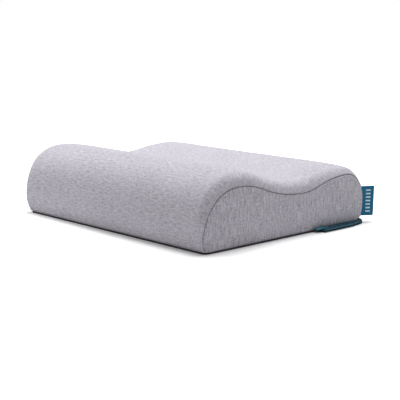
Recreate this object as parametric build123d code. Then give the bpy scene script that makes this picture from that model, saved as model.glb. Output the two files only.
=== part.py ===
from build123d import *
import os
from math import asin, atan, cos, degrees, sin, sqrt

# Contour cervical pillow: a moulded foam core in a thin liner, inside a sewn knit
# cover that opens with a coil zip along its rear lower edge.
# X runs along the pillow's length, Y from the high neck lobe (-Y) to the low lobe
# (+Y), Z up.  The origin is the middle of the base, on the surface it stands on.

# ------------------------------------------------------------------ overall size
pillow_length = 500.0
pillow_depth = 416.0
front_height = 127.0
saddle_height = 96.0
rear_height = 107.0

# -------------------------------------------------------------- shape of the section
front_lobe_radius = 82.0
rear_lobe_radius = 54.0
saddle_y = 30.0
front_convex_share = 0.39
rear_convex_share = 0.62
front_lean = 6.0
foot_radius = 34.0
foot_rise = 30.0
end_roll = 12.0

# ------------------------------------------------------------------------ layers
cover_thickness = 1.6
liner_thickness = 0.6
layer_clearance = 0.2

# ------------------------------------------------- seam between wrap and end panels
seam_front_inset = 4.0
seam_rear_inset = 6.5
seam_front_drop = 23.0
seam_saddle_drop = 22.0
seam_rear_drop = 13.5
seam_gap = 0.5
thread_diameter = 0.3

# ----------------------------------------------------------------------------- zip
tape_thickness = 0.6
coil_width = 2.3
coil_thickness = 2.0
coil_split = 1.4
tape_margin = 9.0
stitch_margin = 1.5
slider_clearance = 0.3
slider_plate = 0.8
slider_width = 10.0
slider_length = 13.0
slider_corner_radius = 3.0
slider_web = 0.8
slider_skirt = 1.0
slider_skirt_run = 7.0
bridge_width = 1.6
bridge_leg = 1.2
bridge_opening = 3.4
tab_thickness = 1.4
tab_width = 7.0
tab_length = 24.0
tab_corner_radius = 2.5
tab_window = 4.4
tab_window_side = 0.7
tab_bend_angle = 3.0
tab_bend_distance = 6.5
stop_length = 2.4
stop_thickness = 1.8
end_reveal = 7.0
rear_reveal = 3.0
chain_corner_radius = 35.0
seam_exit_y = 58.0
chain_start_y = 74.0
tape_end_overrun = 2.0

# ---------------------------------------------------------------------- woven label
label_height = 56.0
label_bottom = 11.0
label_reach = 24.0
label_ply = 0.5
label_fold_gap = 0.4
label_fold_share = 0.45
label_angle = 60.0
label_root_depth = 8.0

# ------------------------------------------------------------- worked-out positions
half_length = pillow_length / 2
front_y = -pillow_depth / 2
rear_y = pillow_depth / 2
front_crest_y = front_y + front_lobe_radius
rear_crest_y = rear_y - rear_lobe_radius
base_front_y = front_y + front_lean
saddle_point = Vector(-half_length, saddle_y, saddle_height)

liner_inset = cover_thickness + layer_clearance
foam_inset = liner_inset + liner_thickness + layer_clearance

# Heights in the zip, from the base panel up to the hinge of the pull tab.
slider_bottom = cover_thickness + slider_clearance
coil_bottom = slider_bottom + slider_plate + slider_clearance
chain_z = coil_bottom + coil_thickness / 2
coil_top = coil_bottom + coil_thickness
slider_plate_top = coil_top + slider_clearance + slider_plate
tape_bottom = chain_z - tape_thickness / 2
tape_top = chain_z + tape_thickness / 2
panel_hem_z = coil_top + layer_clearance
hinge_z = slider_plate_top + slider_clearance + tab_thickness / 2

chain_half_width = coil_split / 2 + coil_width
chain_x = half_length + end_reveal + chain_half_width
coil_start_y = chain_start_y + stop_length
slider_rest_y = coil_start_y + slider_length / 2
tape_start_y = chain_start_y - tape_end_overrun


def surface_y(height):
    """Rear surface of the section at a height below its widest line."""
    return rear_y - foot_radius + sqrt(foot_radius**2 - (foot_rise - height) ** 2)


chain_y = surface_y(panel_hem_z) + rear_reveal + chain_half_width


# --------------------------------------------------------------- section of the pillow
def s_curve(start, end, first_share, inset):
    """Two tangent arcs that join two level points of a section, drawn in by an inset."""
    run = end[0] - start[0]
    rise = end[1] - start[1]
    turn = 2 * atan(abs(rise) / run)
    radius_sum = run / sin(turn)
    first_radius = first_share * radius_sum
    last_radius = radius_sum - first_radius
    side = 1 if rise < 0 else -1
    first_centre = (start[0], start[1] - side * first_radius)
    last_centre = (end[0], end[1] + side * last_radius)
    sweep = side * degrees(turn)
    first = CenterArc(first_centre, first_radius - side * inset, side * 90, -sweep)
    last = CenterArc(last_centre, last_radius + side * inset, -side * 90 - sweep, sweep)
    return [first, last]


def section_face(face_inset=0, back_inset=0, front_drop=0, saddle_drop=0, rear_drop=0, inset=0, below=0):
    """Closed outline in the Y-Z plane.

    The first five values set the seam's line inside the full section, inset draws the whole
    outline in by an even distance, and below carries it straight down under the base.
    """
    front = front_y + face_inset
    back = rear_y - back_inset
    lobe = front_lobe_radius - face_inset
    rear_lobe = rear_lobe_radius - back_inset
    front_crest = (front_crest_y, front_height - front_drop)
    saddle = (saddle_y, saddle_height - saddle_drop)
    rear_crest = (rear_crest_y, rear_height - rear_drop)
    front_widest_z = front_crest[1] - lobe
    rear_widest_z = rear_crest[1] - rear_lobe
    face_radius = (front_widest_z**2 + front_lean**2) / (2 * front_lean)
    face_centre = (front + face_radius, front_widest_z)
    face_arc = face_radius - inset
    face_sweep = asin((front_widest_z - inset) / face_arc)
    base_front = face_centre[0] - face_arc * cos(face_sweep)
    foot_top = min(foot_rise, 0.9 * rear_widest_z)
    foot_centre = (back - foot_radius, foot_top)
    foot_arc = foot_radius - inset
    foot_sweep = asin((foot_top - inset) / foot_arc)
    base_back = foot_centre[0] + foot_arc * cos(foot_sweep)
    floor = inset - below
    edges = [
        CenterArc(face_centre, face_arc, 180, degrees(face_sweep)),
        CenterArc((front_crest_y, front_widest_z), lobe - inset, 90, 90),
        *s_curve(front_crest, saddle, front_convex_share, inset),
        *s_curve(saddle, rear_crest, 1 - rear_convex_share, inset),
        CenterArc((rear_crest_y, rear_widest_z), rear_lobe - inset, 0, 90),
        Line((back - inset, foot_top), (back - inset, rear_widest_z)),
        CenterArc(foot_centre, foot_arc, -degrees(foot_sweep), degrees(foot_sweep)),
        Line((base_front, floor), (base_back, floor)),
    ]
    if below:
        edges += [Line((y, floor), (y, inset)) for y in (base_front, base_back)]
    return make_face(edges)


def seam_section(outward):
    """Outline of the seam between the wrap and an end panel, grown by a distance."""
    return section_face(
        seam_front_inset - outward,
        seam_rear_inset - outward,
        seam_front_drop - outward,
        seam_saddle_drop - outward,
        seam_rear_drop - outward,
        below=foot_rise,
    )


def pillow_half(inset):
    """Left half of the pillow, drawn in by an inset, with its end rolled over."""
    half = extrude(Plane.YZ * section_face(inset=inset), inset - half_length)
    end_edges = half.faces().sort_by(Axis.X)[0].edges()
    saddle_edge = min(end_edges, key=lambda edge: (edge.center() - saddle_point).length)
    return fillet(saddle_edge, end_roll - inset)  # it runs on along the tangent edges


def skin_half(inset, thickness):
    """Left half of a closed skin between two insets."""
    return pillow_half(inset) - pillow_half(inset + thickness)


def both_halves(left):
    """A left half joined to its mirror image."""
    return left + mirror(left, Plane.YZ)


def left_window(outward, bottom=-1.0):
    """Everything inside the seam line at the left end, grown a little, above a height."""
    start = half_length - end_roll - 1
    prism = extrude(Plane.YZ * seam_section(outward), start - pillow_length)
    return (Pos(-start, 0, 0) * prism) - slab(-2 * foot_rise, bottom)


def slab(bottom, top, y_from=-pillow_depth):
    """A wide level block between two heights, from a place along Y to the rear."""
    y_to = pillow_depth
    block = Box(2 * pillow_length, y_to - y_from, top - bottom)
    return Pos(0, (y_from + y_to) / 2, (bottom + top) / 2) * block


hem_z = cover_thickness + layer_clearance
zip_slot = slab(-1, panel_hem_z, y_from=seam_exit_y)


# ------------------------------------------------------------------------- foam, liner
def foam_core():
    """Moulded memory foam, one piece."""
    return both_halves(pillow_half(foam_inset))


def liner_tube():
    """Liner over the front, the top, the rear and the base."""
    bottom = liner_inset + liner_thickness
    return both_halves(skin_half(liner_inset, liner_thickness) - left_window(seam_gap / 2, bottom))


def liner_end():
    """Flat left end of the liner."""
    bottom = liner_inset + liner_thickness + seam_gap / 2
    return skin_half(liner_inset, liner_thickness) & left_window(-seam_gap / 2, bottom)


# ------------------------------------------------------------------------------- cover
def cover_wrap_panel():
    """One width of knit over the front, the top and the rear."""
    left = skin_half(0, cover_thickness) - left_window(seam_gap / 2)
    return both_halves(left - slab(-1, hem_z) - zip_slot)


def cover_end_panel():
    """Flat left end panel, inside the seam line."""
    return (skin_half(0, cover_thickness) & left_window(-seam_gap / 2, hem_z)) - zip_slot


def thread_skin():
    """Left half of the thin skin at the middle of the cover, where a stitch line lies."""
    return skin_half((cover_thickness - thread_diameter) / 2, thread_diameter)


def end_seam_thread():
    """Lockstitch line in the groove between the wrap and the left end panel."""
    ring = left_window(thread_diameter / 2, hem_z) - left_window(-thread_diameter / 2)
    return (thread_skin() & ring) - zip_slot


def zip_outline(offset_from_chain, start_y):
    """Face inside a line that runs round the rear at an offset from the chain."""
    reach_x = chain_x + offset_from_chain
    reach_y = chain_y + offset_from_chain
    block = Pos(0, (start_y + reach_y) / 2) * Rectangle(2 * reach_x, reach_y - start_y)
    corners = block.vertices().group_by(Axis.Y)[-1]
    return fillet(corners, chain_corner_radius + offset_from_chain)


def zip_strip(inner_offset, outer_offset, bottom, top, start_y):
    """Level strip beside the chain, from the right end round the rear to the left."""
    outline = zip_outline(outer_offset, start_y) - zip_outline(inner_offset, start_y - 1)
    return Pos(0, 0, bottom) * extrude(outline, top - bottom)


def cover_base_panel():
    """Flat underside, with a margin that carries the outer tape of the zip."""
    depth = seam_exit_y - base_front_y + 1
    middle = Pos(0, base_front_y + depth / 2) * Rectangle(pillow_length, depth)
    middle = fillet(middle.vertices().group_by(Axis.Y)[0], end_roll)
    margin = zip_outline(chain_half_width + tape_margin, tape_start_y)
    waist = Pos(0, tape_start_y) * Rectangle(pillow_length, 2 * (tape_start_y - seam_exit_y))
    return extrude(middle + waist + margin, cover_thickness)


# --------------------------------------------------------------------------------- zip
def zip_tape_inner():
    """Tape sewn under the hems of the end panels and of the wrap."""
    outline = zip_outline(-chain_half_width, tape_start_y)
    lead = Polyline(
        (half_length - cover_thickness, seam_exit_y),
        (half_length + 1, seam_exit_y),
        (chain_x - chain_half_width, tape_start_y),
        (chain_x - chain_half_width, tape_start_y + 1),
        (half_length - cover_thickness, tape_start_y + 1),
        close=True,
    )
    right_lead = make_face(lead)
    outline = outline + mirror(right_lead, Plane.YZ)
    tape = Pos(0, 0, tape_bottom) * extrude(outline, tape_thickness)
    left_side = Pos(-pillow_length, 0, 0) * Box(2 * pillow_length, 4 * pillow_depth, 4 * front_height)
    return both_halves((tape & left_side) - pillow_half(cover_thickness))


def zip_tape_outer():
    """Tape sewn to the margin of the base panel."""
    return zip_strip(
        chain_half_width, chain_half_width + tape_margin, tape_bottom, tape_top, tape_start_y
    )


def zip_coil(side):
    """Half of the closed coil chain, on the inner (-1) or the outer (1) tape."""
    near = coil_split / 2
    far = chain_half_width
    inner, outer = (-far, -near) if side < 0 else (near, far)
    return zip_strip(inner, outer, coil_bottom, coil_top, coil_start_y)


def stop_block(width, x):
    """Crimped block at the end of the chain."""
    block = Box(width, stop_length - layer_clearance, stop_thickness)
    return Pos(x, chain_start_y + (stop_length - layer_clearance) / 2, chain_z) * block


def zip_top_stops():
    """Two crimped stops in front of the parked slider, one on each tape."""
    offset_x = coil_split / 2 + coil_width / 2
    return stop_block(coil_width, chain_x - offset_x) + stop_block(coil_width, chain_x + offset_x)


def zip_bottom_stop():
    """One stop that holds both tapes together at the far end."""
    return stop_block(2 * chain_half_width, -chain_x)


def zip_seam_thread_upper():
    """Stitch line that joins the panels' hems to the inner tape."""
    return both_halves(thread_skin() & slab(tape_top, panel_hem_z, y_from=tape_start_y))


def zip_seam_thread_lower():
    """Stitch line that joins the outer tape to the margin of the base panel."""
    line = chain_half_width + tape_margin - stitch_margin
    return zip_strip(line, line + thread_diameter, cover_thickness, tape_bottom, tape_start_y + 1)


def slider_skirts():
    """Four skirts that close the slider's sides above and below the tapes."""
    skirt_x = slider_width / 2 - slider_skirt / 2
    upper_z = tape_top + layer_clearance
    upper_height = slider_plate_top - upper_z
    lower_height = tape_bottom - layer_clearance - slider_bottom
    upper = Pos(0, 0, upper_z + upper_height / 2) * Box(slider_skirt, slider_skirt_run, upper_height)
    lower = Pos(0, 0, slider_bottom + lower_height / 2) * Box(slider_skirt, slider_skirt_run, lower_height)
    return [Pos(side * skirt_x, 0, 0) * skirt for side in (-1, 1) for skirt in (upper, lower)]


def slider_bridge():
    """Arch on the top plate that the pull tab's bar turns in."""
    opening_height = tab_thickness + 2 * slider_clearance
    arch_length = bridge_opening + 2 * bridge_leg
    arch_height = opening_height + bridge_leg
    arch = Pos(0, 0, slider_plate_top + arch_height / 2) * Box(bridge_width, arch_length, arch_height)
    top_edges = arch.edges().filter_by(Axis.X).group_by(Axis.Z)[-1]
    opening = Box(2 * bridge_width, bridge_opening, opening_height)
    return fillet(top_edges, bridge_leg) - Pos(0, 0, slider_plate_top + opening_height / 2) * opening


def zip_slider():
    """Cast slider: two plates, the web between them, skirts and the bridge."""
    outline = RectangleRounded(slider_width, slider_length, slider_corner_radius)
    plate = extrude(outline, slider_plate)
    web_height = slider_plate_top - slider_bottom
    web = Box(slider_web, slider_length / 3, web_height)
    slider = Pos(0, 0, slider_bottom) * plate
    slider += Pos(0, 0, slider_plate_top - slider_plate) * plate
    slider += Pos(0, -slider_length / 4, slider_bottom + web_height / 2) * web
    for skirt in slider_skirts():
        slider += skirt
    slider += slider_bridge()
    return Pos(chain_x, slider_rest_y, 0) * slider


def zip_pull_tab():
    """Moulded pull tab: a windowed neck on the bridge and a blade that lies over the chain."""
    side_width = (tab_width - bridge_width - 2 * tab_window_side) / 2
    bar = Cylinder(tab_thickness / 2, tab_width, rotation=(0, 90, 0))
    neck = Pos(0, -tab_bend_distance / 2, 0) * Box(tab_width, tab_bend_distance, tab_thickness)
    window = Box(tab_width - 2 * side_width, tab_window, 2 * tab_thickness)
    blade_length = tab_length - tab_bend_distance
    outline = RectangleRounded(tab_width, blade_length + tab_thickness, tab_corner_radius)
    blade = Pos(0, (tab_thickness - blade_length) / 2, 0) * extrude(outline, tab_thickness / 2, both=True)
    tab = bar + neck - Pos(0, -(tab_thickness + tab_window) / 2, 0) * window
    tab += Pos(0, -tab_bend_distance, 0) * Rot(tab_bend_angle, 0, 0) * blade
    return Pos(chain_x, slider_rest_y, hinge_z) * tab


# ------------------------------------------------------------------------------- label
def woven_label():
    """Folded woven label that stands out of the rear vertical seam."""
    width = 2 * label_ply + label_fold_gap
    reach = label_reach + label_root_depth
    outer = Rectangle(reach, width, align=(Align.MIN, Align.CENTER))
    outer = fillet(outer.vertices().group_by(Axis.X)[-1], label_fold_share * width)
    slot = Pos(-1) * Rectangle(reach - label_ply + 1, label_fold_gap, align=(Align.MIN, Align.CENTER))
    loop = Pos(-label_root_depth) * extrude(outer - slot, label_height)
    roll_centre_x = half_length - end_roll
    roll_centre_y = rear_y - end_roll
    seam_rise = rear_y - seam_rear_inset - roll_centre_y
    root_x = roll_centre_x + sqrt(end_roll**2 - seam_rise**2)
    root_y = roll_centre_y + seam_rise
    loop = Pos(root_x, root_y, label_bottom) * Rot(0, 0, label_angle) * loop
    return loop - mirror(pillow_half(-layer_clearance), Plane.YZ)


# ------------------------------------------------------------------------------ export
def main():
    """Write one STEP file for each piece."""
    os.makedirs("parts", exist_ok=True)
    pieces = {
        "foam_core": foam_core(),
        "liner_tube": liner_tube(),
        "cover_wrap_panel": cover_wrap_panel(),
        "cover_base_panel": cover_base_panel(),
        "zip_tape_inner": zip_tape_inner(),
        "zip_tape_outer": zip_tape_outer(),
        "zip_coil_inner": zip_coil(-1),
        "zip_coil_outer": zip_coil(1),
        "zip_top_stops": zip_top_stops(),
        "zip_bottom_stop": zip_bottom_stop(),
        "zip_seam_thread_upper": zip_seam_thread_upper(),
        "zip_seam_thread_lower": zip_seam_thread_lower(),
        "zip_slider": zip_slider(),
        "zip_pull_tab": zip_pull_tab(),
        "woven_label": woven_label(),
    }
    end_pieces = {
        "liner_end": liner_end(),
        "cover_end_panel": cover_end_panel(),
        "end_seam_thread": end_seam_thread(),
    }
    for name, left in end_pieces.items():
        pieces[f"{name}_left"] = left
        pieces[f"{name}_right"] = mirror(left, Plane.YZ)
    for name, shape in pieces.items():
        export_step(shape, f"parts/{name}.step")
        box = shape.bounding_box()
        print(f"{name}: {len(shape.solids())} solids, volume {shape.volume:.0f}, {box.min} {box.max}")


main()
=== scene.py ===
"""Contour cervical pillow: a foam core in its liner, in a sewn heather knit cover with a coil zip.

Metres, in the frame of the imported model: X along the pillow, -Y its high lobe, Z up.
"""

import logging
import math
from dataclasses import dataclass, field
from enum import Enum
from typing import Callable, Iterable

import bmesh
import bpy
import numpy as np
from bpy.types import Material, Mesh, Node, NodeSocket, NodeTree, Object
from mathutils import Matrix, Vector, noise
from mathutils.kdtree import KDTree


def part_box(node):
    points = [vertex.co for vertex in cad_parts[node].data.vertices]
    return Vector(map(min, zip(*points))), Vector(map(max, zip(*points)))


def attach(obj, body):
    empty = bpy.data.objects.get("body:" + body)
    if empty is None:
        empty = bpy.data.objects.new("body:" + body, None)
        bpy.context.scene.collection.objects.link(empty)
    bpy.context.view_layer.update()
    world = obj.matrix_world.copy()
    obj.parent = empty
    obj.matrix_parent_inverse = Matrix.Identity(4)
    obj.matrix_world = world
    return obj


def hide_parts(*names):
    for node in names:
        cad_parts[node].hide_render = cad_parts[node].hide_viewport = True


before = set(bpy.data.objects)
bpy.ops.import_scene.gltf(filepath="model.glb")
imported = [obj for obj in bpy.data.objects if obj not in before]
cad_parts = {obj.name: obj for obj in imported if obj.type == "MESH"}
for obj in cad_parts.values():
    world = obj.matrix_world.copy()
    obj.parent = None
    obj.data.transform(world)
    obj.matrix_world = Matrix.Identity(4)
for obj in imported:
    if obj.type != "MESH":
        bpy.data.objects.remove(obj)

log = logging.getLogger("pillow")
MM = 0.001
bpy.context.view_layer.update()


# ---------------------------------------------------------------------------- shared helpers
def linear(hex_colour: str) -> tuple[float, float, float, float]:
    """Turns an sRGB hex colour into the linear colour that shaders work in.

    Args:
        hex_colour: Six hex digits.

    Returns:
        Linear red, green, blue and an alpha of 1.
    """
    parts = [int(hex_colour[i : i + 2], 16) / 255 for i in (0, 2, 4)]
    lit = [c / 12.92 if c <= 0.04045 else ((c + 0.055) / 1.055) ** 2.4 for c in parts]
    return lit[0], lit[1], lit[2], 1.0


def add(
    tree: NodeTree,
    kind: str,
    values: dict[str | int, object] | None = None,
    links: dict[str | int, NodeSocket] | None = None,
    **settings: object,
) -> Node:
    """Adds one shader node.

    Args:
        tree: The node tree it goes in.
        kind: The node's type name, without its ShaderNode prefix.
        values: Constants for its inputs, by name or number.
        links: Sockets that feed its inputs, by name or number.
        settings: The node's own properties.

    Returns:
        The new node.
    """
    node = tree.nodes.new(f"ShaderNode{kind}")
    for name, value in settings.items():
        setattr(node, name, value)
    for key, value in (values or {}).items():
        node.inputs[key].default_value = value
    for key, socket in (links or {}).items():
        tree.links.new(socket, node.inputs[key])
    return node


def new_object(
    name: str, bm: bmesh.types.BMesh, material: Material, thickness: float = 0.0
) -> Object:
    """Makes a scene object from a finished bmesh, which is freed.

    Args:
        name: The piece's name.
        bm: The mesh to take.
        material: Its finish.
        thickness: A sheet's thickness, which it gets inwards from its outer face.

    Returns:
        The linked object, with its place in its mesh.
    """
    mesh = bpy.data.meshes.new(name)
    bm.to_mesh(mesh)
    bm.free()
    mesh.materials.append(material)
    mesh.shade_smooth()
    piece = bpy.data.objects.new(name, mesh)
    bpy.context.scene.collection.objects.link(piece)
    if thickness:
        solid = piece.modifiers.new("cloth_thickness", "SOLIDIFY")
        solid.thickness = thickness
        solid.offset = -1
        solid.use_even_offset = False
    return piece


def turned_to(here: Vector, ahead: Vector, out: Vector) -> Matrix:
    """Gives the place of a small part that follows a line.

    Args:
        here: Where its middle goes.
        ahead: Unit direction of its Y.
        out: Unit direction of its Z.

    Returns:
        The matrix of its turn and place.
    """
    axes = Matrix((ahead.cross(out), ahead, out)).transposed()
    return Matrix.Translation(here) @ axes.to_4x4()


def smooth_step(value: np.ndarray | float) -> np.ndarray | float:
    """Returns a value held between 0 and 1, with its start and end eased."""
    held = np.clip(value, 0, 1)
    return held * held * (3 - 2 * held)


def write_uvs(bm: bmesh.types.BMesh, uv_of: Callable[[bmesh.types.BMVert], tuple]) -> None:
    """Gives a mesh the UV map that the cloth finishes read.

    Args:
        bm: The mesh.
        uv_of: Gives a point's place on its cloth, in metres.
    """
    uv_layer = bm.loops.layers.uv.new("cloth")
    for face in bm.faces:
        for loop in face.loops:
            loop[uv_layer].uv = uv_of(loop.vert)


Corner = tuple[Vector, tuple[float, float]]


def cloth_grid(
    across: int,
    along: int,
    place: Callable[[int, int], Corner],
    faces_towards: Vector | None = None,
) -> bmesh.types.BMesh:
    """Lays a square grid of cloth over a surface, with a UV map in metres.

    Args:
        across: Number of cells in the first direction.
        along: Number of cells in the second direction.
        place: Gives the point and the UV of a grid corner from its two numbers.
        faces_towards: The faces' mean direction; faces point away from the middle without it.

    Returns:
        The open sheet.
    """
    bm = bmesh.new()
    bmesh.ops.create_grid(bm, x_segments=across, y_segments=along, size=0.5)
    uvs = {}
    for vert in bm.verts:
        i = round((vert.co.x + 0.5) * across)
        j = round((vert.co.y + 0.5) * along)
        vert.co, uvs[vert.index] = place(i, j)
    write_uvs(bm, lambda vert: uvs[vert.index])
    bm.normal_update()
    middle = sum((vert.co for vert in bm.verts), Vector()) / len(bm.verts)
    lean = sum(
        face.normal.dot(faces_towards or face.calc_center_median() - middle) for face in bm.faces
    )
    if lean < 0:
        bmesh.ops.reverse_faces(bm, faces=bm.faces)
    bm.normal_update()
    return bm


# ---------------------------------------------------------------------------------- finishes
class Recipe:
    """A new material, with the few patterns that the finishes share."""

    def __init__(self, name: str) -> None:
        """Starts a material of this name from its one principled shader."""
        self.material = bpy.data.materials.new(name)
        self.material.use_nodes = True
        self.tree = self.material.node_tree
        self.shader = self.tree.nodes["Principled BSDF"]

    def noise(
        self, place: NodeSocket, scale: float, detail: float, roughness: float = 0.5
    ) -> NodeSocket:
        """Returns a cloudy pattern, with as many cells to a metre as its scale."""
        values = {"Scale": scale, "Detail": detail, "Roughness": roughness}
        return add(self.tree, "TexNoise", values, {"Vector": place}).outputs[0]

    def ribs(
        self, place: NodeSocket, pitch: float, distortion: float, direction: str
    ) -> NodeSocket:
        """Lays even ribs side by side.

        Args:
            place: Where the pattern is read.
            pitch: Distance between ribs, in metres.
            distortion: How much they wander.
            direction: The axis that they cross.

        Returns:
            Their height, from 0 to 1.
        """
        # A wave of scale 1 repeats every tenth of pi.
        values = {"Scale": 0.1 / pitch * math.pi, "Distortion": distortion}
        wave = add(self.tree, "TexWave", values, {"Vector": place}, bands_direction=direction)
        return wave.outputs["Fac"]

    def maths(self, operation: str, *terms: NodeSocket | float) -> NodeSocket:
        """Works out a value.

        Args:
            operation: The Math node's operation.
            terms: Its sockets and numbers, in order.

        Returns:
            The operation's result.
        """
        values = {i: term for i, term in enumerate(terms) if not isinstance(term, NodeSocket)}
        links = {i: term for i, term in enumerate(terms) if isinstance(term, NodeSocket)}
        return add(self.tree, "Math", values, links, operation=operation).outputs[0]

    def spread(
        self, value: NodeSocket, taken: tuple[float, float], given: tuple[float, float] = (0, 1)
    ) -> NodeSocket:
        """Returns a value with one range of it spread over another."""
        values = dict(zip(("From Min", "From Max", "To Min", "To Max"), (*taken, *given)))
        return add(self.tree, "MapRange", values, {"Value": value}).outputs[0]

    def colour(self, shade: NodeSocket, stops: dict[float, str]) -> None:
        """Colours the material by a shade.

        Args:
            shade: Goes from 0 to 1 over the surface.
            stops: The sRGB hex colour at each of some shades.
        """
        ramp = add(self.tree, "ValToRGB", links={0: shade})
        elements = ramp.color_ramp.elements
        (first, low), *between, (last, high) = sorted(stops.items())
        elements[0].position, elements[1].position = first, last
        elements[0].color, elements[1].color = linear(low), linear(high)
        for position, colour in between:
            elements.new(position).color = linear(colour)
        self.tree.links.new(ramp.outputs[0], self.shader.inputs["Base Color"])

    def bump(self, height: NodeSocket, strength: float, distance: float) -> None:
        """Gives the surface its fine relief, a distance deep where the height goes from 0 to 1."""
        values = {"Strength": strength, "Distance": distance}
        relief = add(self.tree, "Bump", values, {"Height": height})
        self.tree.links.new(relief.outputs[0], self.shader.inputs["Normal"])

    def finished(self, **constants: float) -> Material:
        """Sets the shader's constants, whose names have _ for a space, and returns the material."""
        for name, value in constants.items():
            self.shader.inputs[name.replace("_", " ")].default_value = value
        return self.material


class Weave(Enum):
    """Which way the yarns of a narrow cloth cross its ribs."""

    RIBBED_TAPE = "DIAGONAL"
    SATIN = "Y"


@dataclass(frozen=True)
class HeatherKnit:
    """Melange jersey of polyester and cotton, circular knitted and brushed on its face.

    The eye sees a soft matt grey, broken into short paler and darker streaks along the wales
    where differently dyed fibres were carded together, with a faint fuzz at grazing angles.
    Streaks have their real size. Single loops, about 0.8 mm apart, are drawn a little coarser
    so that they show as a fine grain.
    """

    name: str = "heather_jersey_wrap"
    base: str = "BBB7C1"
    pale: str = "D3CFD8"
    deep: str = "98949F"
    streak_length: float = 12 * MM
    streak_width: float = 2.8 * MM
    fleck: float = 4.0 * MM
    drift_scale: float = 14.0
    drift_share: float = 0.12
    mottle_range: tuple[float, float] = (0.78, 1.34)
    loop_pitch: float = 1.2 * MM
    streaks_along_v: bool = False
    relief: float = 0.35 * MM

    def build(self) -> Material:
        """Returns the material, which reads the piece's own UV map in metres."""
        recipe = Recipe(self.name)
        place = add(recipe.tree, "UVMap", uv_map="cloth").outputs["UV"]
        long_way, short_way = 1 / self.streak_length, 1 / self.streak_width
        stretch = (short_way, long_way, 1) if self.streaks_along_v else (long_way, short_way, 1)
        stretched = add(recipe.tree, "Mapping", {"Scale": stretch}, {"Vector": place}).outputs[0]
        streaks = recipe.noise(stretched, 1.0, 3.0, 0.62)
        flecks = recipe.noise(place, 1 / self.fleck, 4.0, 0.7)
        drift = recipe.noise(place, self.drift_scale, 1.0)
        mixed = recipe.maths("ADD", streaks, flecks)
        total = recipe.maths("MULTIPLY_ADD", drift, self.drift_share, mixed)
        shade = recipe.spread(total, self.mottle_range)
        recipe.colour(shade, {0.0: self.deep, 0.5: self.base, 1.0: self.pale})
        wales = recipe.ribs(place, self.loop_pitch, 0.6, "X")
        courses = recipe.ribs(place, self.loop_pitch, 0.6, "Y")
        loops = recipe.maths("MULTIPLY", wales, courses)
        recipe.bump(recipe.maths("MULTIPLY_ADD", loops, 0.5, mixed), 0.55, self.relief)
        return recipe.finished(
            Roughness=0.88, Sheen_Weight=0.25, Sheen_Roughness=0.5, Specular_IOR_Level=0.25
        )


@dataclass(frozen=True)
class WovenNarrow:
    """Narrow woven goods, dyed in the piece: zip tape, or a satin label.

    The eye sees fine ribs across the tape and a dull silk shine on the floats of the yarn. The
    shine comes partly from the shader's sheen and partly from colour painted paler on the crests of
    ribs and floats, with the grooves painted darker as shade.
    """

    name: str
    base: str
    pale: str
    weave: Weave
    rib_pitch: float = 0.9 * MM
    roughness: float = 0.6
    mottle_scale: float = 260.0
    shade_range: tuple[float, float] = (0.45, 0.958)
    relief: float = 0.15 * MM

    def build(self) -> Material:
        """Returns the material, which reads the piece's own UV map in metres."""
        recipe = Recipe(self.name)
        place = add(recipe.tree, "UVMap", uv_map="cloth").outputs["UV"]
        ribs = recipe.ribs(place, self.rib_pitch, 0.4, "X")
        yarns = recipe.ribs(place, 0.6 * self.rib_pitch, 0.3, self.weave.value)
        mottle = recipe.noise(place, self.mottle_scale, 3.0)
        height = recipe.maths("ADD", ribs, yarns)
        low, high = self.shade_range
        # Painted light: rib and float crests paler and grooves darker, over a random mottle.
        recipe.colour(
            recipe.maths("MULTIPLY_ADD", height, 0.3, mottle), {low: self.base, high: self.pale}
        )
        recipe.bump(height, 0.6, self.relief)
        return recipe.finished(
            Roughness=self.roughness, Sheen_Weight=0.04, Sheen_Roughness=0.4,
            Specular_IOR_Level=0.3,
        )


@dataclass(frozen=True)
class GrainedSolid:
    """A solid with one body colour and a fine grain: foam, thread, nylon, enamel or plastic.

    What the eye reads is the size of its grain, how deep that is, and how sharp its shine is.
    """

    name: str
    base: str
    pale: str
    grain: float
    relief: float
    roughness: float
    coat: float = 0.0
    pores: bool = False
    shade_range: tuple[float, float] = (0.3, 0.75)
    wear: float = 0.08

    def build(self) -> Material:
        """Returns the material, which reads Object coordinates."""
        recipe = Recipe(self.name)
        place = add(recipe.tree, "TexCoord").outputs["Object"]
        grain = recipe.noise(place, 1 / self.grain, 5.0, 0.6)
        height = grain
        # With pores, the pits are painted darker than the cell walls: painted shade in the pores.
        if self.pores:
            cells = add(recipe.tree, "TexVoronoi", {"Scale": 1 / self.grain}, {"Vector": place})
            height = recipe.maths("ADD", cells.outputs["Distance"], grain)
        low, high = self.shade_range
        recipe.colour(height, {low: self.base, high: self.pale})
        limits = (self.roughness - self.wear, self.roughness + self.wear)
        rough = recipe.spread(grain, (0.3, 0.7), limits)
        recipe.tree.links.new(rough, recipe.shader.inputs["Roughness"])
        recipe.bump(height, 0.5, self.relief)
        return recipe.finished(Coat_Weight=self.coat, Coat_Roughness=0.15)


# --------------------------------------------------------------------------- pillow's section
@dataclass(frozen=True)
class Arc:
    """A round stretch of a line in the Y-Z plane, in metres and radians."""

    centre: tuple[float, float]
    radius: float
    start: float
    sweep: float

    def sample(self, step: float) -> np.ndarray:
        """Returns points along it, about a step apart."""
        count = max(2, round(abs(self.sweep) * self.radius / step))
        angle = self.start + self.sweep * np.linspace(0, 1, count + 1)
        return np.array(self.centre) + self.radius * np.column_stack((np.cos(angle), np.sin(angle)))


@dataclass(frozen=True)
class SeamInsets:
    """How far the end seam lies inside the section: level at the faces, down at the crests."""

    front: float = 0.0
    rear: float = 0.0
    front_drop: float = 0.0
    saddle_drop: float = 0.0
    rear_drop: float = 0.0


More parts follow.
